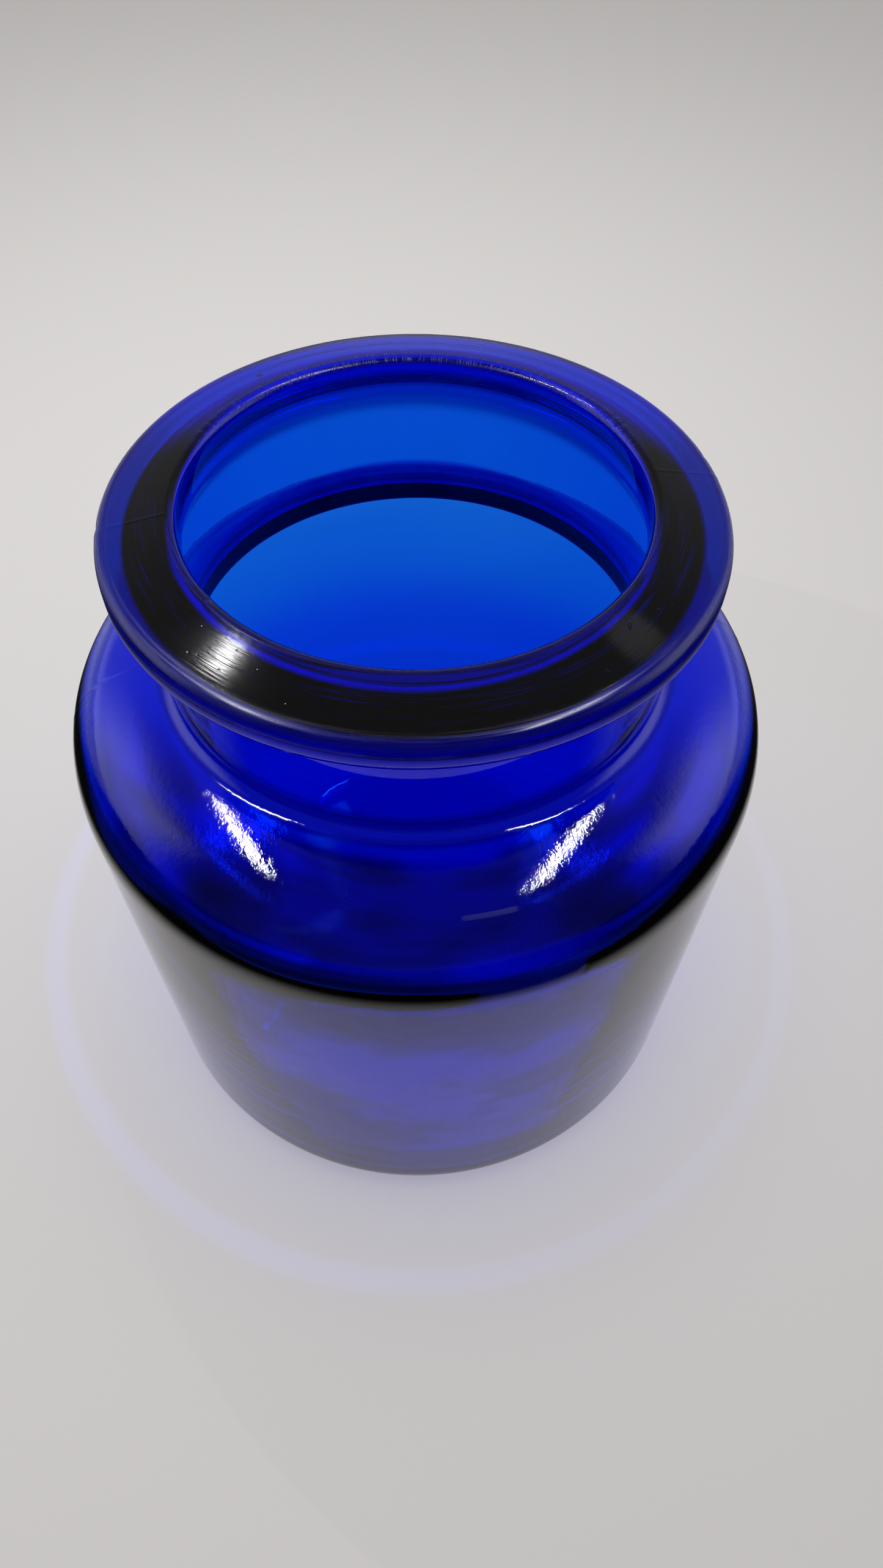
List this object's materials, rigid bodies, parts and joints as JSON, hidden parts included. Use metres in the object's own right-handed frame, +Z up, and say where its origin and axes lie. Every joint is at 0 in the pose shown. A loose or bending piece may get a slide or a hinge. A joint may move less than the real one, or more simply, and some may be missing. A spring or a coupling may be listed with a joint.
{
  "type": "glass jar",
  "caption": "Cobalt-blue moulded glass jar: wide mouth, sloping flared lip, short neck, round shoulder, nearly straight side, rounded heel.",
  "frame": {"origin": "centre of the base, on the surface that the jar stands on", "axes": "+Z up the jar's axis, from the base to the mouth; the jar is round, so +X and +Y are free"},
  "size_m": [0.1084, 0.1084, 0.124],
  "materials": {
    "cobalt_glass": "clear deep cobalt-blue soda-lime glass, fire-polished, with fine scratches and faint mould ripple"
  },
  "bodies": {
    "root": {"jar": "cobalt_glass"}
  },
  "joints": []
}
